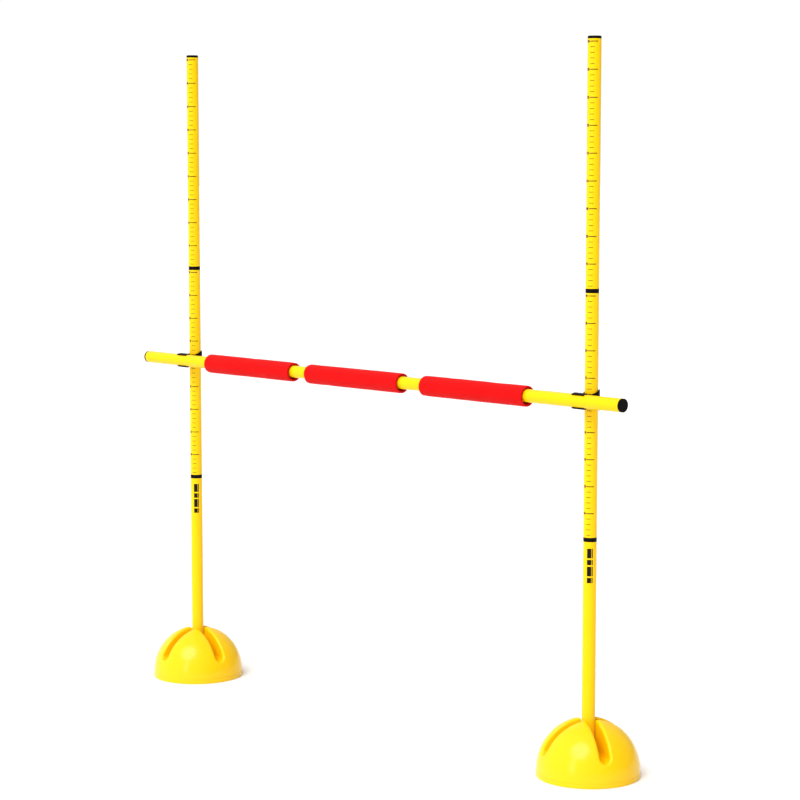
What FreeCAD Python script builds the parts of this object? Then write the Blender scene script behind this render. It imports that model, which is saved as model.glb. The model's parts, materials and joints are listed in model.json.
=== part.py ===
import FreeCAD, Part
import os
import math
import Sketcher

# Agility hurdle: two weighted dome bases, two sectional poles with a height
# scale, two moulded double clips and a sectional crossbar with foam sleeves.
# Frame: +X along the bar, +Y away from the bar side of the poles, +Z up.
# The origin is on the floor, midway between the two ends of the bar.

V = FreeCAD.Vector
doc = FreeCAD.newDocument("agility_hurdle")

# ------------------------------------------------------------------ sheet
sheet = doc.addObject("Spreadsheet::Sheet", "Sheet")
sheet.Label = "Dimensions"
CELLS = [
    ("tube_or", 12.5),          # tube outer radius
    ("tube_ir", 10.9),          # tube bore radius
    ("tube_len", 450.0),        # standard tube
    ("lower_len", 433.0),       # lower pole tube, above its foot cap
    ("ring_len", 8.0),          # coupler collar
    ("ring_or", 12.5),
    ("spigot_or", 10.85),
    ("spigot_len", 40.0),
    ("spigot_ir", 8.4),
    ("cap_len", 5.0),
    ("cap_plug_len", 12.0),
    ("cap_edge", 1.0),
    ("foot_z", 3.0),            # underside of the foot cap
    ("pole_left_x", -562.0),
    ("pole_right_x", 584.0),
    ("bar_y", -31.0),
    ("bar_z", 703.0),
    ("base_rim_or", 97.5),
    ("base_rim_top", 8.0),
    ("base_rim_edge", 1.6),
    ("dome_or", 97.0),
    ("ball_z", 12.0),           # height of the half-ball's centre
    ("base_wall", 3.5),
    ("socket_ir", 12.8),
    ("socket_wall", 3.2),
    ("slot_half", 10.0),
    ("slot_floor", 43.0),
    ("slot_left_deg", -6.0),
    ("slot_right_deg", -27.5),
    ("ballast_gap", 0.3),
    ("ballast_top", 66.0),
    ("filler_pos", 55.0),
    ("filler_hole", 10.0),
    ("filler_cbore", 13.2),
    ("filler_cdepth", 1.9),
    ("clip_ir", 12.8),
    ("clip_wall", 2.4),
    ("clip_web_half", 8.0),
    ("clip_arm_half", 14.5),
    ("clip_tip_half", 19.5),
    ("clip_lip", 1.4),
    ("pole_mouth_half", 10.4),
    ("bar_mouth_half", 12.8),
    ("sleeve_or", 20.5),
    ("sleeve_ir", 14.0),
    ("sleeve_len", 271.0),
    ("sleeve_drop", 1.2),
    ("sleeve_edge", 1.4),
    ("sleeve_one_x", -471.0),
    ("sleeve_two_x", -150.4),
    ("sleeve_three_x", 184.0),
]
D = {}
for i, (name, val) in enumerate(CELLS):
    sheet.set("A%d" % (i + 1), name)
    sheet.set("B%d" % (i + 1), "%g" % val)
    sheet.setAlias("B%d" % (i + 1), name)
    D[name] = val
doc.recompute()

NODES = []


def S(expr):
    """Prefix every alias in an expression with the sheet's name."""
    out = expr
    for name in sorted(D, key=len, reverse=True):
        out = out.replace(name, "@%d@" % list(D).index(name))
    for k, name in enumerate(D):
        out = out.replace("@%d@" % k, "Sheet." + name)
    return out


def val(expr):
    out = expr
    for name in sorted(D, key=len, reverse=True):
        out = out.replace(name, "(%r)" % D[name])
    toks = out
    return _num(toks)


def _num(text):
    """Small evaluator for + - * / and brackets on plain numbers."""
    pos = [0]
    t = text.replace(" ", "")

    def factor():
        if t[pos[0]] == "(":
            pos[0] += 1
            v = addsub()
            pos[0] += 1
            return v
        if t[pos[0]] in "+-":
            s = -1.0 if t[pos[0]] == "-" else 1.0
            pos[0] += 1
            return s * factor()
        j = pos[0]
        while j < len(t) and (t[j].isdigit() or t[j] == "."):
            j += 1
        v = float(t[pos[0]:j])
        pos[0] = j
        return v

    def term():
        v = factor()
        while pos[0] < len(t) and t[pos[0]] in "*/":
            op = t[pos[0]]
            pos[0] += 1
            w = factor()
            v = v * w if op == "*" else v / w
        return v

    def addsub():
        v = term()
        while pos[0] < len(t) and t[pos[0]] in "+-":
            op = t[pos[0]]
            pos[0] += 1
            w = term()
            v = v + w if op == "+" else v - w
        return v

    return addsub()


def plane_of(body, role):
    for f in body.Origin.OriginFeatures:
        if f.Role == role:
            return f
    raise RuntimeError(role)


def place(obj, x, y, z, rot=None):
    """Rest position of a sub-part, bound to the sheet."""
    obj.Placement = FreeCAD.Placement(V(val(x), val(y), val(z)), rot or FreeCAD.Rotation())
    for axis, e in (("x", x), ("y", y), ("z", z)):
        if any(n in e for n in D):
            obj.setExpression("Placement.Base." + axis, S(e))


ALONG_X = FreeCAD.Rotation(V(0, 1, 0), 90)      # local +Z becomes +X
ALONG_MX = FreeCAD.Rotation(V(0, 1, 0), -90)    # local +Z becomes -X


# -------------------------------------------------- tubes: sketch and pad
def tube_body(label, outer, inner, length, edge=None):
    body = doc.addObject("PartDesign::Body", label)
    body.Label = label
    sk = body.newObject("Sketcher::SketchObject", label + "_section")
    sk.AttachmentSupport = [(plane_of(body, "XY_Plane"), "")]
    sk.MapMode = "FlatFace"
    for k, e in enumerate((outer, inner)):
        sk.addGeometry(Part.Circle(V(0, 0, 0), V(0, 0, 1), val(e)), False)
        sk.addConstraint(Sketcher.Constraint("Coincident", k, 3, -1, 1))
        c = sk.addConstraint(Sketcher.Constraint("Radius", k, val(e)))
        sk.renameConstraint(c, "radius%d" % k)
        sk.setExpression("Constraints.radius%d" % k, S(e))
    pad = body.newObject("PartDesign::Pad", label + "_length")
    pad.Profile = sk
    pad.Length = val(length)
    pad.setExpression("Length", S(length))
    doc.recompute()
    if edge:
        fil = body.newObject("PartDesign::Fillet", label + "_edges")
        names = []
        for n, ed in enumerate(pad.Shape.Edges):
            if isinstance(ed.Curve, Part.Circle) and len(ed.Vertexes) == 1:
                names.append("Edge%d" % (n + 1))
        fil.Base = (pad, names)
        fil.Radius = val(edge)
        fil.setExpression("Radius", S(edge))
        doc.recompute()
    NODES.append(body)
    return body


# ------------------------------------------- turned pieces: one revolution
def turned_body(label, pts, edge=None, edge_z=None):
    """Revolve a closed profile of (radius, height) expressions about Z."""
    body = doc.addObject("PartDesign::Body", label)
    body.Label = label
    sk = body.newObject("Sketcher::SketchObject", label + "_profile")
    sk.AttachmentSupport = [(plane_of(body, "XZ_Plane"), "")]
    sk.MapMode = "FlatFace"
    xy = [(val(a), val(b)) for a, b in pts]
    n = len(xy)
    for k in range(n):
        a, b = xy[k], xy[(k + 1) % n]
        sk.addGeometry(Part.LineSegment(V(a[0], a[1], 0), V(b[0], b[1], 0)), False)
    for k in range(n):
        sk.addConstraint(Sketcher.Constraint("Coincident", k, 2, (k + 1) % n, 1))
    for k in range(n):
        if abs(xy[k][0]) < 1e-9:
            sk.addConstraint(Sketcher.Constraint("PointOnObject", k, 1, -2))
        else:
            c = sk.addConstraint(Sketcher.Constraint("DistanceX", -1, 1, k, 1, xy[k][0]))
            sk.renameConstraint(c, "rad%d" % k)
            if any(m in pts[k][0] for m in D):
                sk.setExpression("Constraints.rad%d" % k, S(pts[k][0]))
        if abs(xy[k][1]) < 1e-9:
            sk.addConstraint(Sketcher.Constraint("PointOnObject", k, 1, -1))
        else:
            c = sk.addConstraint(Sketcher.Constraint("DistanceY", -1, 1, k, 1, xy[k][1]))
            sk.renameConstraint(c, "hgt%d" % k)
            if any(m in pts[k][1] for m in D):
                sk.setExpression("Constraints.hgt%d" % k, S(pts[k][1]))
    rev = body.newObject("PartDesign::Revolution", label + "_turned")
    rev.Profile = sk
    rev.ReferenceAxis = (sk, ["V_Axis"])
    rev.Angle = 360.0
    doc.recompute()
    if edge:
        fil = body.newObject("PartDesign::Fillet", label + "_edges")
        zz = [val(e) for e in edge_z]
        names = []
        for m, ed in enumerate(rev.Shape.Edges):
            if isinstance(ed.Curve, Part.Circle) and len(ed.Vertexes) == 1:
                c = ed.Curve.Center
                if any(abs(c.z - z) < 1e-6 for z in zz) and abs(ed.Curve.Radius - D["ring_or"]) < 0.01:
                    names.append("Edge%d" % (m + 1))
        fil.Base = (rev, names)
        fil.Radius = val(edge)
        fil.setExpression("Radius", S(edge))
        doc.recompute()
    NODES.append(body)
    return body


def coupler(label):
    return turned_body(label, [
        ("spigot_ir", "0"), ("spigot_or-0.8", "0"), ("spigot_or", "0.8"),
        ("spigot_or", "spigot_len"),
        ("ring_or", "spigot_len"), ("ring_or", "spigot_len+ring_len"),
        ("spigot_or", "spigot_len+ring_len"), ("spigot_or", "spigot_len*2+ring_len-0.8"),
        ("spigot_or-0.8", "spigot_len*2+ring_len"), ("spigot_ir", "spigot_len*2+ring_len")])


def cap(label):
    """Flanged plug: the flange closes the tube end, the plug is inside it."""
    return turned_body(label, [
        ("0", "0"), ("ring_or-cap_edge", "0"), ("ring_or", "cap_edge"), ("ring_or", "cap_len"),
        ("spigot_or", "cap_len"), ("spigot_or", "cap_len+cap_plug_len"),
        ("spigot_or-1.6", "cap_len+cap_plug_len"), ("spigot_or-1.6", "cap_len+1"),
        ("0", "cap_len+1")])


Z_LOWER = "foot_z+cap_len"
Z_RING1 = "foot_z+cap_len+lower_len"
Z_MID = "foot_z+cap_len+lower_len+ring_len"
Z_RING2 = "foot_z+cap_len+lower_len+ring_len+tube_len"
Z_UP = "foot_z+cap_len+lower_len+ring_len*2+tube_len"
Z_TOP = "foot_z+cap_len+lower_len+ring_len*2+tube_len*2+cap_len"
FLIP = FreeCAD.Rotation(V(1, 0, 0), 180)

# ---------------------------------------------------------------- poles
for side in ("left", "right"):
    px = "pole_%s_x" % side
    b = cap(side + "_foot_cap")
    place(b, px, "0", "foot_z")
    b = tube_body(side + "_lower_tube", "tube_or", "tube_ir", "lower_len")
    place(b, px, "0", Z_LOWER)
    b = coupler(side + "_lower_coupler")
    place(b, px, "0", Z_RING1 + "-spigot_len")
    b = tube_body(side + "_middle_tube", "tube_or", "tube_ir", "tube_len")
    place(b, px, "0", Z_MID)
    b = coupler(side + "_upper_coupler")
    place(b, px, "0", Z_RING2 + "-spigot_len")
    b = tube_body(side + "_upper_tube", "tube_or", "tube_ir", "tube_len")
    place(b, px, "0", Z_UP)
    b = cap(side + "_top_cap")
    place(b, px, "0", Z_TOP, FLIP)

# ------------------------------------------------------------- crossbar
b = tube_body("bar_middle_tube", "tube_or", "tube_ir", "tube_len")
place(b, "-tube_len/2", "bar_y", "bar_z", ALONG_X)
b = coupler("bar_left_coupler")
place(b, "-tube_len/2-ring_len-spigot_len", "bar_y", "bar_z", ALONG_X)
b = coupler("bar_right_coupler")
place(b, "tube_len/2-spigot_len", "bar_y", "bar_z", ALONG_X)
b = tube_body("bar_left_tube", "tube_or", "tube_ir", "tube_len")
place(b, "-tube_len*3/2-ring_len", "bar_y", "bar_z", ALONG_X)
b = tube_body("bar_right_tube", "tube_or", "tube_ir", "tube_len")
place(b, "tube_len/2+ring_len", "bar_y", "bar_z", ALONG_X)
b = cap("bar_left_cap")
place(b, "-tube_len*3/2-ring_len-cap_len", "bar_y", "bar_z", ALONG_X)
b = cap("bar_right_cap")
place(b, "tube_len*3/2+ring_len+cap_len", "bar_y", "bar_z", ALONG_MX)
for name, cell in (("left_sleeve", "sleeve_one_x"), ("middle_sleeve", "sleeve_two_x"),
                   ("right_sleeve", "sleeve_three_x")):
    b = tube_body(name, "sleeve_or", "sleeve_ir", "sleeve_len", edge="sleeve_edge")
    place(b, cell, "bar_y", "bar_z-sleeve_drop", ALONG_X)


# ------------------------------------------- primitives bound to the sheet
def prim(kind, name, base=("0", "0", "0"), rot=None, **props):
    o = doc.addObject("Part::" + kind, name)
    for p, e in props.items():
        if isinstance(e, str):
            setattr(o, p, val(e))
            if any(n in e for n in D):
                o.setExpression(p, S(e))
        else:
            setattr(o, p, e)
    o.Placement = FreeCAD.Placement(V(*[val(e) for e in base]), rot or FreeCAD.Rotation())
    for axis, e in zip("xyz", base):
        if any(n in e for n in D):
            o.setExpression("Placement.Base." + axis, S(e))
    return o


def fuse(name, parts):
    o = doc.addObject("Part::MultiFuse", name)
    o.Shapes = parts
    return o


def cut(name, base, tool):
    o = doc.addObject("Part::Cut", name)
    o.Base = base
    o.Tool = tool
    return o


def common(name, parts):
    o = doc.addObject("Part::MultiCommon", name)
    o.Shapes = parts
    return o


RX = FreeCAD.Rotation(V(0, 1, 0), 90)
RY = FreeCAD.Rotation(V(1, 0, 0), -90)


# ----------------------------------------------------------------- bases
def dome(name, gap, floor):
    """Half-ball on a straight belt and a slightly prouder rim; gap is how far
    it is set in from the skin."""
    cyl = prim("Cylinder", name + "_rim", base=("0", "0", floor), Radius="base_rim_or-(%s)" % gap,
               Height="base_rim_top-(%s)" % floor)
    belt = prim("Cylinder", name + "_belt", base=("0", "0", floor), Radius="dome_or-(%s)" % gap,
                Height="ball_z-(%s)" % floor)
    ball = prim("Sphere", name + "_ball", base=("0", "0", "ball_z"), Radius="dome_or-(%s)" % gap,
                Angle1=0.0, Angle2=90.0, Angle3=360.0)
    return fuse(name, [cyl, belt, ball])


def slots(name, deg, half, floor):
    """Two crossing hoop slots with round floors, and room for them above."""
    tools = []
    for k in (0, 1):
        r = FreeCAD.Rotation(V(0, 0, 1), val(deg) + 90.0 * k)
        box = prim("Box", "%s_box%d" % (name, k), Length=260.0, Width="(%s)*2" % half, Height=90.0)
        box.Placement = FreeCAD.Placement(r.multVec(V(-130.0, -val(half), 0)) + V(0, 0, val(floor) + val(half)), r)
        cyl = prim("Cylinder", "%s_floor%d" % (name, k), Radius=half, Height=260.0)
        cyl.Placement = FreeCAD.Placement(r.multVec(V(-130.0, 0, 0)) + V(0, 0, val(floor) + val(half)), r.multiply(RX))
        tools += [box, cyl]
    return fuse(name, tools)


def add_fillet(name, base, test, radius):
    """Round the edges that pass the test; None if the kernel refuses."""
    doc.recompute()
    edges = [k + 1 for k, e in enumerate(base.Shape.Edges) if test(e)]
    o = doc.addObject("Part::Fillet", name)
    o.Base = base
    o.Edges = [(k, radius, radius) for k in edges]
    doc.recompute()
    if o.Shape.isNull() or not o.Shape.isValid() or len(o.Shape.Solids) != 1:
        doc.removeObject(o.Name)
        doc.recompute()
        return None
    return o


for side in ("left", "right"):
    deg = "slot_%s_deg" % side
    n = side + "_base"
    outer = dome(n + "_outer", "0", "0")
    cutter = slots(n + "_slots", deg, "slot_half", "slot_floor")
    socket = prim("Cylinder", n + "_socket", base=("0", "0", "foot_z"), Radius="socket_ir", Height=140.0)
    body = cut(n + "_slotted", outer, cutter)
    doc.recompute()

    def on_slot(e):
        # upper and end edges where a slot wall meets the ball
        c = e.CenterOfMass
        mid = e.valueAt((e.FirstParameter + e.LastParameter) / 2.0)
        rr = math.sqrt(mid.x ** 2 + mid.y ** 2 + (mid.z - D["ball_z"]) ** 2)
        seam = all(abs(p.y) < 1e-3 and p.x > 0 for p in (mid, e.valueAt(e.FirstParameter)))
        return abs(rr - D["dome_or"]) < 0.05 and mid.z > D["ball_z"] + 1.0 and e.Length > 3.0 and not seam

    rounded = None
    for rad in (5.0, 4.5, 4.0, 3.5, 3.0, 2.5, 2.0):
        rounded = add_fillet(n + "_rounded", body, on_slot, rad)
        if rounded:
            print(side, "slot edge radius", rad)
            break
    if rounded:
        body = rounded
    else:
        print(side, "slot edges left sharp")
    body = cut(n + "_socketed", body, socket)
    inner = dome(n + "_cavity_raw", "base_wall", "base_wall")
    keep = fuse(n + "_walls", [
        slots(n + "_slot_walls", deg, "slot_half+base_wall", "slot_floor-base_wall"),
        prim("Cylinder", n + "_socket_wall", Radius="socket_ir+socket_wall", Height=140.0)])
    cavity = cut(n + "_cavity", inner, keep)
    hollow = cut(n + "_hollow", body, cavity)
    doc.recompute()
    ang = math.radians(D["slot_%s_deg" % side] + 45.0)
    fx, fy = D["filler_pos"] * math.cos(ang), D["filler_pos"] * math.sin(ang)
    hole = fuse(n + "_filler", [
        prim("Cylinder", n + "_filler_hole", base=("%r" % fx, "%r" % fy, "0"), Radius="filler_hole", Height="base_wall+1"),
        prim("Cylinder", n + "_filler_cbore", base=("%r" % fx, "%r" % fy, "0"), Radius="filler_cbore", Height="filler_cdepth")])
    shell = cut(n + "_shell", hollow, hole)
    shell.Label = n + "_shell"
    place(shell, "pole_%s_x" % side, "0", "0")
    NODES.append(shell)

    fill_raw = dome(n + "_fill_raw", "base_wall+ballast_gap", "base_wall+ballast_gap")
    fill_keep = fuse(n + "_fill_walls", [
        slots(n + "_fill_slots", deg, "slot_half+base_wall+ballast_gap", "slot_floor-base_wall-ballast_gap"),
        prim("Cylinder", n + "_fill_socket", Radius="socket_ir+socket_wall+ballast_gap", Height=140.0),
        prim("Cylinder", n + "_fill_plug", base=("%r" % fx, "%r" % fy, "0"), Radius="filler_hole+1", Height=16.0),
        prim("Box", n + "_fill_top", base=("-120", "-120", "ballast_top"), Length=240.0, Width=240.0, Height=60.0)])
    fill = cut(n + "_ballast", fill_raw, fill_keep)
    fill.Label = n + "_ballast"
    place(fill, "pole_%s_x" % side, "0", "0")
    NODES.append(fill)

    plug = turned_body(side + "_filler_plug", [
        ("0", "0"), ("filler_cbore-0.5", "0"), ("filler_cbore-0.3", "0.3"), ("filler_cbore-0.3", "1.2"),
        ("filler_hole-0.05", "1.2"), ("filler_hole-0.05", "7"), ("filler_hole-1.8", "7"),
        ("filler_hole-1.8", "2.4"), ("0", "2.4")])
    plug.Placement = FreeCAD.Placement(V(D["pole_%s_x" % side] + fx, fy, 0.65), FreeCAD.Rotation())
    plug.setExpression("Placement.Base.x", S("pole_%s_x+%r" % (side, fx)))

# ----------------------------------------------------------------- clips
for side in ("left", "right"):
    n = side + "_clip"
    # half that holds the pole, opening away from the bar
    ring_a = prim("Cylinder", n + "_pole_ring", base=("0", "0", "-clip_tip_half"),
                  Radius="clip_ir+clip_wall", Height="clip_tip_half*2")
    trim_a = doc.addObject("Part::Wedge", n + "_pole_trim")
    trim_a.Xmin, trim_a.Xmax, trim_a.X2min, trim_a.X2max = -30.0, 30.0, -30.0, 30.0
    trim_a.Ymin, trim_a.Ymax = -18.0, 9.6
    for p, e in (("Zmin", "-clip_web_half"), ("Zmax", "clip_web_half"),
                 ("Z2min", "-clip_tip_half"), ("Z2max", "clip_tip_half")):
        setattr(trim_a, p, val(e))
        trim_a.setExpression(p, S(e))
    half_a = common(n + "_pole_half", [ring_a, trim_a])
    # half that holds the bar, opening to the approach side
    ring_b = prim("Cylinder", n + "_bar_ring", base=("-clip_arm_half", "bar_y", "0"), rot=RX,
                  Radius="clip_ir+clip_wall", Height="clip_arm_half*2")
    arms_b = prim("Box", n + "_bar_arms", base=("-clip_arm_half", "bar_y-8.6", "-clip_ir-clip_wall"),
                  Length="clip_arm_half*2", Width=8.6, Height="(clip_ir+clip_wall)*2")
    front_b = prim("Box", n + "_bar_front", base=("-clip_arm_half-1", "bar_y-30", "-clip_ir-clip_wall-1"),
                   Length="clip_arm_half*2+2", Width=21.4, Height="(clip_ir+clip_wall)*2+2")
    full_b = cut(n + "_bar_u", fuse(n + "_bar_solid", [ring_b, arms_b]), front_b)
    trim_b = doc.addObject("Part::Wedge", n + "_bar_trim")
    trim_b.Zmin, trim_b.Zmax, trim_b.Z2min, trim_b.Z2max = -30.0, 30.0, -30.0, 30.0
    trim_b.Ymin, trim_b.Ymax = -41.0, -12.0
    for p, e in (("Xmin", "-clip_arm_half"), ("Xmax", "clip_arm_half"),
                 ("X2min", "-clip_web_half"), ("X2max", "clip_web_half")):
        setattr(trim_b, p, val(e))
        trim_b.setExpression(p, S(e))
    half_b = common(n + "_bar_half", [full_b, trim_b])
    # web between the two rings, and rounded lips at the arm tips
    web = prim("Box", n + "_web", base=("-clip_web_half", "-21", "-clip_web_half"),
               Length="clip_web_half*2", Width=11.0, Height="clip_web_half*2")
    lips = []
    for k, sgn in enumerate(("", "-")):
        lips.append(prim("Cylinder", "%s_bar_lip%d" % (n, k),
                         base=("-clip_arm_half", "bar_y-8.6", sgn + "(clip_ir+clip_lip)"), rot=RX,
                         Radius="clip_lip", Height="clip_arm_half*2"))
        lips.append(prim("Cylinder", "%s_pole_lip%d" % (n, k),
                         base=(sgn + "(clip_ir-1)", "8.1", "-clip_tip_half+1.6"),
                         Radius="clip_lip", Height="clip_tip_half*2-3.2"))
    solid = fuse(n + "_solid", [half_a, half_b, web] + lips)
    bores = fuse(n + "_bores", [
        prim("Cylinder", n + "_pole_bore", base=("0", "0", "-40"), Radius="clip_ir", Height=80.0),
        prim("Cylinder", n + "_bar_bore", base=("-40", "bar_y", "0"), rot=RX, Radius="clip_ir", Height=80.0),
        prim("Box", n + "_pole_mouth", base=("-pole_mouth_half", "4", "-40"), Length="pole_mouth_half*2",
             Width=30.0, Height=80.0),
        prim("Box", n + "_bar_mouth", base=("-40", "bar_y-30", "-bar_mouth_half"), Length=80.0,
             Width=30.0, Height="bar_mouth_half*2")])
    clip = cut(n, solid, bores)
    clip.Label = n
    place(clip, "pole_%s_x" % side, "0", "bar_z")
    NODES.append(clip)

doc.recompute()

# ---------------------------------------------------------------- checks
for o in doc.Objects:
    if any(s in ("Invalid", "Error") for s in o.State):
        raise RuntimeError("object failed: %s %s" % (o.Label, o.State))
box = FreeCAD.BoundBox()
for o in NODES:
    shp = o.Shape
    if shp.isNull() or not shp.isValid() or len(shp.Solids) != 1 or shp.Volume <= 0:
        raise RuntimeError("bad shape: %s (%d solids)" % (o.Label, len(shp.Solids)))
    box.add(shp.BoundBox)
wall = math.pi * (D["tube_or"] ** 2 - D["tube_ir"] ** 2) * D["tube_len"]
for o in NODES:
    if o.Label.endswith("middle_tube") and abs(o.Shape.Volume - wall) > 1.0:
        raise RuntimeError("tube bore missing: " + o.Label)

os.makedirs("parts", exist_ok=True)
for o in NODES:
    o.Shape.exportStep("parts/%s.step" % o.Label)
    print("%-22s %10.1f mm3  z %.1f..%.1f" % (o.Label, o.Shape.Volume, o.Shape.BoundBox.ZMin, o.Shape.BoundBox.ZMax))
print("nodes", len(NODES), "box", box)
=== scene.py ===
import json
import math
import bpy
import bmesh
from mathutils import Matrix, Vector, noise

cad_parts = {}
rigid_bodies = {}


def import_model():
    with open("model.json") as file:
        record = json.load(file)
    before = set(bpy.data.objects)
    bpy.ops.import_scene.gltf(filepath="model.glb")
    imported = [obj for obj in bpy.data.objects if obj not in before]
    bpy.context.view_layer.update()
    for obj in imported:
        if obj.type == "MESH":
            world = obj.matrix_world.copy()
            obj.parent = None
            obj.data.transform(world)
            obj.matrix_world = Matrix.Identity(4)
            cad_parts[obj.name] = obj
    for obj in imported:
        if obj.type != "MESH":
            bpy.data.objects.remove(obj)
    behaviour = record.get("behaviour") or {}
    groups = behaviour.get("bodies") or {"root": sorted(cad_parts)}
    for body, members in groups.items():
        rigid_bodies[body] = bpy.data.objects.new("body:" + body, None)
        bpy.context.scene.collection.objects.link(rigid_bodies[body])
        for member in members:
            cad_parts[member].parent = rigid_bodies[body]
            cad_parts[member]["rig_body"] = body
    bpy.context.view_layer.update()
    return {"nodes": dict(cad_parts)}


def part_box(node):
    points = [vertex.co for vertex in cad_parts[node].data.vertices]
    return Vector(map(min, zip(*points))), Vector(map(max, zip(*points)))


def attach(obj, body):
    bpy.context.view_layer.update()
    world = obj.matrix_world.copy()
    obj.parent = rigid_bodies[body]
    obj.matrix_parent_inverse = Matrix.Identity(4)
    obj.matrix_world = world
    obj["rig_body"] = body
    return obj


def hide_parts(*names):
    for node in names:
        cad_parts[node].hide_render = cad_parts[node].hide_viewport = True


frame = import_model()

NODES = frame["nodes"]
BODY = {n: o["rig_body"] for n, o in NODES.items()}


# ------------------------------------------------------------------ camera
def make_camera():
    cam = bpy.data.cameras.new("photo_camera")
    cam.lens = 101.84
    cam.sensor_width = 36.0
    cam.clip_start = 0.05
    cam.clip_end = 200.0
    ob = bpy.data.objects.new("photo_camera", cam)
    ob.location = (3.2925, -3.1230, 1.1515)
    ob.rotation_euler = (math.radians(90.0 - 6.218), 0.0, math.radians(45.795))
    bpy.context.scene.collection.objects.link(ob)
    bpy.context.scene.camera = ob
    return ob


make_camera()


# --------------------------------------------------------------- materials
class Mat:
    """A principled material with a few short calls for its node network."""

    def __init__(self, name, rough=0.4, ior=1.5, spec=0.5, coat=0.0, coat_rough=0.1, sheen=0.0, sheen_rough=0.5):
        self.m = bpy.data.materials.new(name)
        self.m.use_nodes = True
        self.nt = self.m.node_tree
        self.b = self.nt.nodes["Principled BSDF"]
        self.b.inputs["Roughness"].default_value = rough
        self.b.inputs["IOR"].default_value = ior
        self.b.inputs["Specular IOR Level"].default_value = spec
        self.b.inputs["Coat Weight"].default_value = coat
        self.b.inputs["Coat Roughness"].default_value = coat_rough
        self.b.inputs["Sheen Weight"].default_value = sheen
        self.b.inputs["Sheen Roughness"].default_value = sheen_rough
        self.coord = self.nt.nodes.new("ShaderNodeTexCoord")

    def node(self, kind, **kw):
        n = self.nt.nodes.new("ShaderNode" + kind)
        for k, v in kw.items():
            setattr(n, k, v)
        return n

    def link(self, a, b):
        self.nt.links.new(a, b)

    def place(self, scale=(1, 1, 1), rot=(0, 0, 0)):
        mp = self.node("Mapping")
        mp.inputs["Scale"].default_value = scale
        mp.inputs["Rotation"].default_value = rot
        self.link(self.coord.outputs["Object"], mp.inputs["Vector"])
        return mp.outputs["Vector"]

    def noise(self, vec, scale=5.0, detail=3.0, rough=0.5):
        n = self.node("TexNoise")
        n.inputs["Scale"].default_value = scale
        n.inputs["Detail"].default_value = detail
        n.inputs["Roughness"].default_value = rough
        self.link(vec, n.inputs["Vector"])
        return n.outputs["Fac"]

    def voronoi(self, vec, scale=5.0, feature="F1"):
        n = self.node("TexVoronoi", feature=feature)
        n.inputs["Scale"].default_value = scale
        self.link(vec, n.inputs["Vector"])
        return n.outputs["Distance"]

    def ramp(self, fac, stops):
        n = self.node("ValToRGB")
        el = n.color_ramp.elements
        while len(el) < len(stops):
            el.new(0.5)
        for e, (p, c) in zip(el, stops):
            e.position = p
            e.color = (c, c, c, 1) if isinstance(c, (int, float)) else tuple(c) + (1,)
        self.link(fac, n.inputs["Fac"])
        return n.outputs["Color"]

    def mix(self, fac, a, b, blend="MIX"):
        n = self.node("Mix", data_type="RGBA", blend_type=blend)
        for sock, v in ((n.inputs[0], fac), (n.inputs[6], a), (n.inputs[7], b)):
            if isinstance(v, (int, float)):
                sock.default_value = v
            elif isinstance(v, tuple):
                sock.default_value = v + (1,)
            else:
                self.link(v, sock)
        return n.outputs[2]

    def math(self, op, a, b):
        n = self.node("Math", operation=op)
        for sock, v in ((n.inputs[0], a), (n.inputs[1], b)):
            if isinstance(v, (int, float)):
                sock.default_value = v
            else:
                self.link(v, sock)
        return n.outputs[0]

    def span(self, fac, lo, hi):
        n = self.node("MapRange")
        n.inputs["To Min"].default_value = lo
        n.inputs["To Max"].default_value = hi
        self.link(fac, n.inputs["Value"])
        return n.outputs["Result"]

    def color(self, c):
        self.link(c, self.b.inputs["Base Color"])

    def rough(self, r):
        self.link(r, self.b.inputs["Roughness"])

    def bump(self, *layers):
        """Each layer is (height, strength, distance in metres)."""
        last = None
        for height, strength, dist in layers:
            n = self.node("Bump")
            n.inputs["Strength"].default_value = strength
            n.inputs["Distance"].default_value = dist
            self.link(height, n.inputs["Height"])
            if last is not None:
                self.link(last, n.inputs["Normal"])
            last = n.outputs["Normal"]
        self.link(last, self.b.inputs["Normal"])


def tube_yellow(name, along):
    """Gloss extruded tube: draw lines along it, a little mottling, fine scuffs."""
    m = Mat(name, rough=0.26, spec=0.15)
    k = {"z": 2, "x": 0}[along]
    sc = [900.0, 900.0, 900.0]
    sc[k] = 5.0
    draw = m.noise(m.place(tuple(sc)), 1.0, 2.0, 0.5)
    sc2 = [260.0, 260.0, 260.0]
    sc2[k] = 3.0
    wide = m.noise(m.place(tuple(sc2)), 1.0, 2.0, 0.5)
    soft = m.noise(m.place((1, 1, 1)), 14.0, 3.0, 0.55)
    fine = m.noise(m.place((1, 1, 1)), 900.0, 2.0, 0.6)
    sc3 = [70.0, 70.0, 70.0]
    sc3[k] = 700.0
    ring = m.ramp(m.noise(m.place(tuple(sc3)), 1.0, 3.0, 0.7), [(0.66, 0.0), (0.74, 1.0)])
    base = m.mix(soft, (0.98, 0.590, 0.0004), (0.97, 0.612, 0.0006))
    base = m.mix(m.span(wide, 0.0, 0.22), base, (0.96, 0.540, 0.0004))
    scuff = m.math("MULTIPLY", ring, m.span(soft, 0.0, 0.16))
    base = m.mix(scuff, base, (0.72, 0.40, 0.02))
    m.color(base)
    m.rough(m.math("ADD", m.span(fine, 0.20, 0.30), m.math("MULTIPLY", ring, 0.07)))
    m.bump((draw, 0.10, 0.0003), (wide, 0.10, 0.0006), (fine, 0.05, 0.0001))
    return m.m


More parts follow.
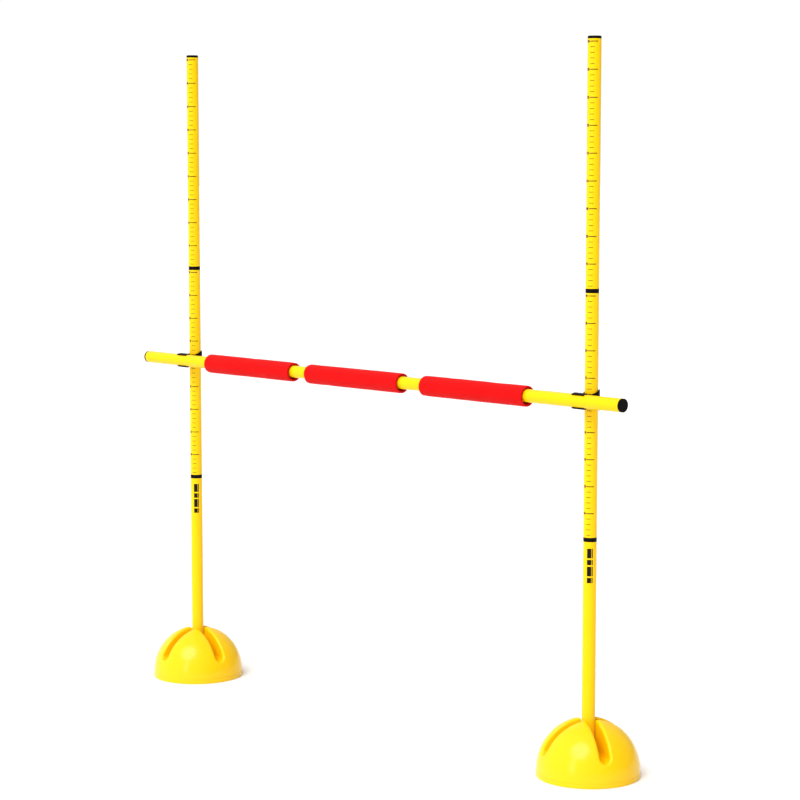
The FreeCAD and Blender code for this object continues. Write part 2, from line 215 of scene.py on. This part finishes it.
def base_yellow():
    """Moulded dome: fine orange peel, faint flow marks, a patchy darker foot."""
    m = Mat("base_moulded_yellow", rough=0.22, spec=0.26)
    peel = m.noise(m.place((1, 1, 1)), 420.0, 3.0, 0.6)
    flow = m.noise(m.place((1, 1, 0.35)), 16.0, 4.0, 0.6)
    grain = m.noise(m.place((1, 1, 1)), 1800.0, 2.0, 0.5)
    base = m.mix(flow, (0.98, 0.575, 0.001), (0.97, 0.600, 0.002))
    # the shell turns darker and browner, in patches, over its bottom 16 mm towards the floor
    sep = m.node("SeparateXYZ")
    m.link(m.coord.outputs["Object"], sep.inputs["Vector"])
    n = m.node("MapRange")
    n.inputs["From Min"].default_value = 0.0
    n.inputs["From Max"].default_value = 0.016
    n.inputs["To Min"].default_value = 0.16
    n.inputs["To Max"].default_value = 0.0
    m.link(sep.outputs["Z"], n.inputs["Value"])
    foot = m.math("MULTIPLY", n.outputs["Result"], m.span(m.noise(m.place((1, 1, 1)), 60.0, 4.0, 0.7), 0.1, 1.0))
    base = m.mix(foot, base, (0.62, 0.42, 0.02))
    m.color(base)
    m.rough(m.span(flow, 0.15, 0.25))
    m.bump((peel, 0.16, 0.0004), (grain, 0.06, 0.0001), (flow, 0.22, 0.0016))
    return m.m


def black_plastic(name, rough=(0.30, 0.46), grain_scale=1500.0):
    """Moulded black plastic: spark-eroded grain and pale rubbed spots."""
    m = Mat(name, rough=0.38, spec=0.035)
    grain = m.noise(m.place((1, 1, 1)), grain_scale, 3.0, 0.6)
    cloud = m.noise(m.place((1, 1, 1)), 70.0, 4.0, 0.6)
    rub = m.ramp(m.noise(m.place((1, 1, 1)), 260.0, 5.0, 0.75), [(0.60, 0.0), (0.78, 1.0)])
    base = m.mix(cloud, (0.0025, 0.0025, 0.003), (0.006, 0.006, 0.0066))
    base = m.mix(m.math("MULTIPLY", rub, 0.25), base, (0.040, 0.040, 0.043))
    m.color(base)
    m.rough(m.span(grain, *rough))
    m.bump((grain, 0.22, 0.00012), (cloud, 0.08, 0.0006))
    return m.m


def foam_red():
    """Closed-cell foam: a skinned outside, fine cells and a soft sheen."""
    m = Mat("foam_sleeve_red", rough=0.62, spec=0.09, sheen=0.02, sheen_rough=0.45)
    m.b.inputs["Sheen Tint"].default_value = (1.0, 0.35, 0.30, 1.0)
    cells = m.voronoi(m.place((1, 1, 1)), 1250.0)
    pores = m.ramp(m.voronoi(m.place((1, 1, 1)), 620.0), [(0.10, 1.0), (0.24, 0.0)])
    cloud = m.noise(m.place((0.6, 1, 1)), 34.0, 4.0, 0.55)
    drag = m.noise(m.place((12.0, 320.0, 320.0)), 1.0, 3.0, 0.6)
    base = m.mix(cloud, (0.68, 0.0008, 0.0014), (0.60, 0.0006, 0.0010))
    base = m.mix(m.math("MULTIPLY", pores, 0.35), base, (0.40, 0.001, 0.002))
    base = m.mix(m.span(drag, 0.0, 0.16), base, (0.76, 0.004, 0.004))
    m.color(base)
    m.rough(m.span(cloud, 0.55, 0.72))
    m.bump((cells, 0.30, 0.0002), (drag, 0.14, 0.0004), (cloud, 0.12, 0.0016))
    return m.m


def foam_cut():
    """Cut end of the foam: open cells, a little duller than the skin."""
    m = Mat("foam_cut_face", rough=0.85, spec=0.12, sheen=0.03)
    m.b.inputs["Sheen Tint"].default_value = (1.0, 0.35, 0.30, 1.0)
    cells = m.voronoi(m.place((1, 1, 1)), 800.0)
    big = m.noise(m.place((1, 1, 1)), 300.0, 4.0, 0.7)
    base = m.mix(m.ramp(cells, [(0.05, 0.0), (0.5, 1.0)]), (0.30, 0.001, 0.002), (0.60, 0.003, 0.004))
    base = m.mix(m.span(big, 0.0, 0.4), base, (0.50, 0.002, 0.004))
    m.color(base)
    m.rough(m.span(big, 0.78, 0.95))
    m.bump((cells, 0.7, 0.0006), (big, 0.3, 0.0006))
    return m.m


def ink_black():
    """Screen-printed ink, thin in places so the colour below shows."""
    m = Mat("scale_ink", rough=0.42, spec=0.12)
    fleck = m.noise(m.place((1, 1, 1)), 1400.0, 4.0, 0.7)
    patch = m.noise(m.place((1, 1, 1)), 160.0, 3.0, 0.6)
    base = m.mix(m.ramp(fleck, [(0.58, 0.0), (0.78, 1.0)]), (0.004, 0.0035, 0.003), (0.06, 0.036, 0.002))
    base = m.mix(m.span(patch, 0.0, 0.25), base, (0.016, 0.012, 0.005))
    m.color(base)
    m.rough(m.span(patch, 0.36, 0.52))
    m.bump((fleck, 0.2, 0.00005))
    return m.m


def sand():
    m = Mat("ballast_sand_grains", rough=0.9)
    grains = m.voronoi(m.place((1, 1, 1)), 900.0)
    cloud = m.noise(m.place((1, 1, 1)), 80.0, 4.0, 0.6)
    base = m.mix(m.ramp(grains, [(0.1, 0.0), (0.6, 1.0)]), (0.62, 0.50, 0.33), (0.40, 0.30, 0.18))
    base = m.mix(m.span(cloud, 0.0, 0.5), base, (0.72, 0.62, 0.45))
    m.color(base)
    m.rough(m.span(grains, 0.8, 1.0))
    m.bump((grains, 0.8, 0.0008), (cloud, 0.3, 0.002))
    return m.m


MAT = {
    "pole": tube_yellow("pole_tube_yellow", "z"),
    "bar": tube_yellow("bar_tube_yellow", "x"),
    "base": base_yellow(),
    "fitting": black_plastic("fitting_black_plastic"),
    "clip": black_plastic("clip_black_plastic", rough=(0.26, 0.40), grain_scale=1100.0),
    "foam": foam_red(),
    "cut": foam_cut(),
    "ink": ink_black(),
    "sand": sand(),
}


def assign(obj, mat):
    obj.data.materials.clear()
    obj.data.materials.append(mat)


for name, ob in NODES.items():
    if name.endswith("base_shell"):
        assign(ob, MAT["base"])
    elif name.endswith("ballast"):
        assign(ob, MAT["sand"])
    elif name.startswith("bar_") and name.endswith("tube"):
        assign(ob, MAT["bar"])
    elif name.endswith("tube"):
        assign(ob, MAT["pole"])
    elif name.endswith("sleeve"):
        assign(ob, MAT["foam"])
    elif name.endswith("clip"):
        assign(ob, MAT["clip"])
    else:
        assign(ob, MAT["fitting"])


# ----------------------------------------------------------- mesh helpers
def link(name, bm, mats, smooth=True):
    me = bpy.data.meshes.new(name)
    bmesh.ops.recalc_face_normals(bm, faces=bm.faces)
    bm.to_mesh(me)
    bm.free()
    for mt in mats:
        me.materials.append(mt)
    for p in me.polygons:
        p.use_smooth = smooth
    ob = bpy.data.objects.new(name, me)
    bpy.context.scene.collection.objects.link(ob)
    return ob


def apply_modifiers(ob):
    bpy.context.view_layer.update()
    dg = bpy.context.evaluated_depsgraph_get()
    me = bpy.data.meshes.new_from_object(ob.evaluated_get(dg), depsgraph=dg)
    old = ob.data
    ob.modifiers.clear()
    ob.data = me
    me.name = ob.name
    if old.users == 0:
        bpy.data.meshes.remove(old)
    return ob


def finish_piece(ob, body, replaces=()):
    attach(ob, body)
    if replaces:
        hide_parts(*replaces)
    return ob


# ------------------------------------------- softened copies of CAD pieces
def hug_bar(bm, node):
    """The bar half's arms as they sit with the bar snapped in: the upper one
    curls over the bar, the lower one is shorter. The CAD arms are straight,
    because they can't flex to let the bar out."""
    lo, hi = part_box(node)
    cy, cz, mid = -0.031, (lo.z + hi.z) / 2, 0.0140
    for k in range(0, 11):
        bmesh.ops.bisect_plane(bm, geom=bm.verts[:] + bm.edges[:] + bm.faces[:], dist=1e-7,
                               plane_co=(0, cy - 0.001 * k, 0), plane_no=(0, 1, 0))
    for v in bm.verts:
        reach, h = cy - v.co.y, v.co.z - cz
        if reach <= 0.0 or abs(h) < 0.010:
            continue
        if reach > 0.003:
            reach = 0.003 + (reach - 0.003) * (0.78 if h > 0 else 0.62)
        a = reach / mid
        v.co.y = cy - abs(h) * math.sin(a)
        v.co.z = cz + h * math.cos(a)


def soften(node, width, mat, angle=32.0, segments=3, bend=None):
    """The node's own shape with its moulded edges rounded."""
    bm = bmesh.new()
    bm.from_mesh(NODES[node].data)
    bmesh.ops.remove_doubles(bm, verts=bm.verts, dist=2e-6)
    bmesh.ops.dissolve_limit(bm, angle_limit=math.radians(0.6), verts=bm.verts, edges=bm.edges)
    if bend:
        bend(bm, node)
    ob = link(node + "_soft", bm, [mat])
    bev = ob.modifiers.new("edges", "BEVEL")
    bev.width = width
    bev.segments = segments
    bev.limit_method = "ANGLE"
    bev.angle_limit = math.radians(angle)
    bev.use_clamp_overlap = True
    bev.harden_normals = False
    wn = ob.modifiers.new("normals", "WEIGHTED_NORMAL")
    wn.keep_sharp = False
    apply_modifiers(ob)
    return finish_piece(ob, BODY[node], [node])


# ------------------------------------------------------------- foam sleeve
def foam_sleeve(node, seed):
    """Thick foam tube: rounded cut ends, slight waviness and small dents from handling."""
    lo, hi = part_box(node)
    cy, cz = (lo.y + hi.y) / 2, (lo.z + hi.z) / 2
    ro = (hi.z - lo.z) / 2 - 0.00035
    ri = 0.0153          # a loose fit on the 25 mm bar
    nseg = 96
    er = 0.0016
    # outside skin, left to right, then the right cut face, the bore, the left cut face
    nx = 110
    x0, x1 = lo.x + 0.0002, hi.x - 0.0002
    prof = []
    for i in range(7):
        a = math.pi / 2 * i / 6
        prof.append((x0 + er - er * math.cos(a), ro - er + er * math.sin(a), 0))
    for i in range(1, nx):
        prof.append((x0 + er + (x1 - x0 - 2 * er) * i / nx, ro, 0))
    for i in range(7):
        a = math.pi / 2 * (1 - i / 6)
        prof.append((x1 - er + er * math.cos(a), ro - er + er * math.sin(a), 0))
    face_r = [ro - er - (ro - er - ri - 0.0009) * k / 5 for k in range(1, 5)]
    for r in face_r:
        prof.append((x1, r, 1))
    er2 = 0.0009
    for i in range(5):
        a = math.pi / 2 * i / 4
        prof.append((x1 - er2 + er2 * math.cos(a), ri + er2 - er2 * math.sin(a), 1))
    for i in range(1, 24):
        prof.append((x1 - er2 - (x1 - x0 - 2 * er2) * i / 24, ri, 2))
    for i in range(5):
        a = math.pi / 2 * (1 - i / 4)
        prof.append((x0 + er2 - er2 * math.cos(a), ri + er2 - er2 * math.sin(a), 1))
    for r in reversed(face_r):
        prof.append((x0, r, 1))
    bm = bmesh.new()
    rings = []
    for (x, r, kind) in prof:
        ring = []
        for s in range(nseg):
            t = 2 * math.pi * s / nseg
            dy, dz = math.cos(t), math.sin(t)
            p = Vector((x * 9.0, dy * 0.9 + seed * 3.7, dz * 0.9))
            w = noise.noise(p) * 0.00030 + noise.noise(p * 4.3) * 0.00010
            rr = r + w - 0.00030
            if kind == 0:
                # long shallow dents
                d = noise.noise(Vector((x * 26.0 + seed, dy * 1.5, dz * 1.5 + 11.0)))
                rr -= max(0.0, d - 0.28) * 0.0011
                # end faces flare very slightly in, as cut foam does
                e = min(x - x0, x1 - x)
                rr -= 0.00025 * math.exp(-e / 0.006)
            elif kind == 2:
                rr = r
            xx = x
            if kind == 1:
                xx = x + noise.noise(Vector((dy * 3.0 + seed, dz * 3.0, r * 300.0))) * 0.00022 * (1 if x < (x0 + x1) / 2 else -1)
                xx = min(max(xx, lo.x), hi.x)
                rr = r
            ring.append(bm.verts.new((xx, cy + dy * rr, cz + dz * rr)))
        rings.append(ring)
    n = len(rings)
    for i in range(n):
        a, b = rings[i], rings[(i + 1) % n]
        kind = 1 if (prof[i][2] == 1 or prof[(i + 1) % n][2] == 1) else 0
        for s in range(nseg):
            f = bm.faces.new((a[s], a[(s + 1) % nseg], b[(s + 1) % nseg], b[s]))
            f.material_index = kind
    ob = link(node + "_foam", bm, [MAT["foam"], MAT["cut"]])
    finish_piece(ob, BODY[node], [node])
    return ob


for k, node in enumerate(("left_sleeve", "middle_sleeve", "right_sleeve")):
    foam_sleeve(node, k + 1)

# ------------------------------------------------------------ printed scale
R_TUBE = 0.0125
INK = 0.00010          # ink stands this far proud of the tube


def glyphs(text, height):
    """Digits as a flat mesh about 0,0, to be cut fine enough to wrap round a tube."""
    cu = bpy.data.curves.new("digits", "FONT")
    cu.body = text
    cu.size = 1.0
    cu.align_x = "LEFT"
    cu.resolution_u = 6
    cu.offset = 0.055
    ob = bpy.data.objects.new("digits", cu)
    bpy.context.scene.collection.objects.link(ob)
    bpy.context.view_layer.update()
    dg = bpy.context.evaluated_depsgraph_get()
    me = bpy.data.meshes.new_from_object(ob.evaluated_get(dg), depsgraph=dg)
    bpy.data.objects.remove(ob)
    bpy.data.curves.remove(cu)
    bm = bmesh.new()
    bm.from_mesh(me)
    bpy.data.meshes.remove(me)
    ys = [v.co.y for v in bm.verts]
    xs = [v.co.x for v in bm.verts]
    k = height / (max(ys) - min(ys))
    x0, x1, y0, y1 = min(xs), max(xs), min(ys), max(ys)
    for v in bm.verts:
        v.co = Vector(((v.co.x - x1) * k, (v.co.y - (y0 + y1) / 2) * k, 0))
    return bm, (x1 - x0) * k


def cut_strips(bm, step):
    xs = [v.co.x for v in bm.verts]
    x = math.floor(min(xs) / step) * step
    while x < max(xs):
        bmesh.ops.bisect_plane(bm, geom=bm.verts[:] + bm.edges[:] + bm.faces[:], dist=1e-7,
                               plane_co=(x, 0, 0), plane_no=(1, 0, 0))
        x += step


def rect(bm, x0, x1, y0, y1, step=0.0007):
    n = max(1, int(math.ceil((x1 - x0) / step)))
    rows = []
    for i in range(n + 1):
        x = x0 + (x1 - x0) * i / n
        rows.append((bm.verts.new((x, y0, 0)), bm.verts.new((x, y1, 0))))
    for i in range(n):
        bm.faces.new((rows[i][0], rows[i + 1][0], rows[i + 1][1], rows[i][1]))


def solidify_wrap(bm, cx, cy, turn):
    """Give the flat print its ink thickness and wrap it round the pole.
    x is distance round the tube, measured from the side that faces -Y
    towards +X; y is height."""
    ret = bmesh.ops.extrude_face_region(bm, geom=bm.faces[:])
    for g in ret["geom"]:
        if isinstance(g, bmesh.types.BMVert):
            g.co.z += 1.0
    for v in bm.verts:
        r = R_TUBE + (INK if v.co.z > 0.5 else -0.00004)
        a = v.co.x / R_TUBE + turn
        v.co = Vector((cx + r * math.sin(a), cy - r * math.cos(a), v.co.y))


def scale_print(node, first, turn, label):
    """Tick lines every 10 mm, a long line and a number every 50 mm."""
    lo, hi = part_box(node)
    cx, cy = (lo.x + hi.x) / 2, (lo.y + hi.y) / 2
    top = hi.z - 0.005
    flat = bmesh.new()
    for k in range(45):
        z = top - 0.010 * k
        if z < lo.z + 0.003:
            break
        if k % 5 == 0:
            rect(flat, R_TUBE * math.radians(3), R_TUBE * math.radians(72), z - 0.00080, z + 0.00080)
            bm, w = glyphs(str(first - k), 0.0050)
            cut_strips(bm, 0.0007)
            me = bpy.data.meshes.new("tmp")
            for v in bm.verts:
                v.co.x -= R_TUBE * math.radians(2)
                v.co.y += z
            bm.to_mesh(me)
            bm.free()
            flat.from_mesh(me)
            bpy.data.meshes.remove(me)
        else:
            wob = 0.00025 * noise.noise(Vector((k * 1.7, cx * 3.0, 0.0)))
            rect(flat, R_TUBE * math.radians(4) + wob, R_TUBE * math.radians(43) + wob, z - 0.00050, z + 0.00050)
    solidify_wrap(flat, cx, cy, turn)
    ob = link(label, flat, [MAT["ink"]], smooth=False)
    return finish_piece(ob, BODY[node])


def plain_mark(node, turn, label):
    """A generic mark: a column of plain bars, in place of any lettering."""
    lo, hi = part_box(node)
    cx, cy = (lo.x + hi.x) / 2, (lo.y + hi.y) / 2
    top = hi.z - 0.012
    flat = bmesh.new()
    w = R_TUBE * math.radians(26)
    z = top
    for k, h in enumerate((0.018, 0.010, 0.018, 0.010)):
        rect(flat, -w * 0.9, w * 0.5, z - h, z)
        rect(flat, w * 0.66, w * 1.0, z - h, z)
        z -= h + 0.0028
    solidify_wrap(flat, cx, cy, turn)
    ob = link(label, flat, [MAT["ink"]], smooth=False)
    return finish_piece(ob, BODY[node])


# the left pole's print is turned a little further round than the right one's
TURN = {"left": math.radians(8), "right": 0.0}
for side in ("left", "right"):
    scale_print(side + "_upper_tube", 135, TURN[side], side + "_upper_scale")
    scale_print(side + "_middle_tube", 90, TURN[side], side + "_middle_scale")
    plain_mark(side + "_lower_tube", TURN[side] + math.radians(40), side + "_lower_mark")

# ----------------------------------------------------- rounded black pieces
for side in ("left", "right"):
    soften(side + "_clip", 0.0006, MAT["clip"], bend=hug_bar)


# ---------------------------------------------------------- floor and light
WORLD_LOW, WORLD_HIGH = 0.32, 1.10


def make_stage():
    m = Mat("studio_floor", rough=0.8)
    f = m.noise(m.place((1, 1, 1)), 3.0, 3.0, 0.5)
    m.color(m.mix(f, (0.93, 0.93, 0.93), (0.95, 0.95, 0.95)))
    bm = bmesh.new()
    bmesh.ops.create_grid(bm, x_segments=8, y_segments=8, size=60.0)
    floor = link("studio_floor", bm, [m.m], smooth=False)
    floor.location.z = -0.0004

    # the backdrop is plain white; the light it gives is soft, strongest from
    # above and from the left of the camera, weakest from the right
    world = bpy.data.worlds.new("studio")
    bpy.context.scene.world = world
    world.use_nodes = True
    nt = world.node_tree
    bg = nt.nodes["Background"]
    bg.inputs["Color"].default_value = (1.0, 1.0, 1.0, 1.0)
    bg.inputs["Strength"].default_value = 1.02
    soft = nt.nodes.new("ShaderNodeBackground")
    soft.inputs["Color"].default_value = (1.0, 1.0, 1.0, 1.0)
    tc = nt.nodes.new("ShaderNodeTexCoord")
    dot = nt.nodes.new("ShaderNodeVectorMath")
    dot.operation = "DOT_PRODUCT"
    dot.inputs[1].default_value = (-0.56, -0.62, 0.46)
    nt.links.new(tc.outputs["Generated"], dot.inputs[0])
    rng = nt.nodes.new("ShaderNodeMapRange")
    rng.interpolation_type = "SMOOTHSTEP"
    rng.inputs["From Min"].default_value = -0.75
    rng.inputs["From Max"].default_value = 0.85
    rng.inputs["To Min"].default_value = WORLD_LOW
    rng.inputs["To Max"].default_value = WORLD_HIGH
    nt.links.new(dot.outputs["Value"], rng.inputs["Value"])
    nt.links.new(rng.outputs["Result"], soft.inputs["Strength"])
    lp = nt.nodes.new("ShaderNodeLightPath")
    mx = nt.nodes.new("ShaderNodeMixShader")
    nt.links.new(lp.outputs["Is Camera Ray"], mx.inputs[0])
    nt.links.new(soft.outputs[0], mx.inputs[1])
    nt.links.new(bg.outputs[0], mx.inputs[2])
    nt.links.new(mx.outputs[0], nt.nodes["World Output"].inputs["Surface"])


def area(name, loc, target, size, energy, size_y=None, color=(1, 1, 1)):
    li = bpy.data.lights.new(name, "AREA")
    li.shape = "RECTANGLE"
    li.size = size
    li.size_y = size_y or size
    li.energy = energy
    li.color = color
    ob = bpy.data.objects.new(name, li)
    ob.location = loc
    d = Vector(target) - Vector(loc)
    ob.rotation_euler = d.to_track_quat("-Z", "Y").to_euler()
    bpy.context.scene.collection.objects.link(ob)
    return ob


def sun(name, direction, strength, angle):
    li = bpy.data.lights.new(name, "SUN")
    li.energy = strength
    li.angle = math.radians(angle)
    ob = bpy.data.objects.new(name, li)
    ob.rotation_euler = Vector(direction).to_track_quat("-Z", "Y").to_euler()
    bpy.context.scene.collection.objects.link(ob)
    return ob


make_stage()
# broad overhead key from the front left, and a tall strip for the highlight
sun("key_light", (-0.15, 0.60, -0.78), 1.80, 36.0)
area("strip_softbox", (0.95, -4.6, 1.5), (0.0, 0.0, 0.7), 0.45, 24.0, 2.6)

bpy.context.scene.view_settings.view_transform = "Standard"

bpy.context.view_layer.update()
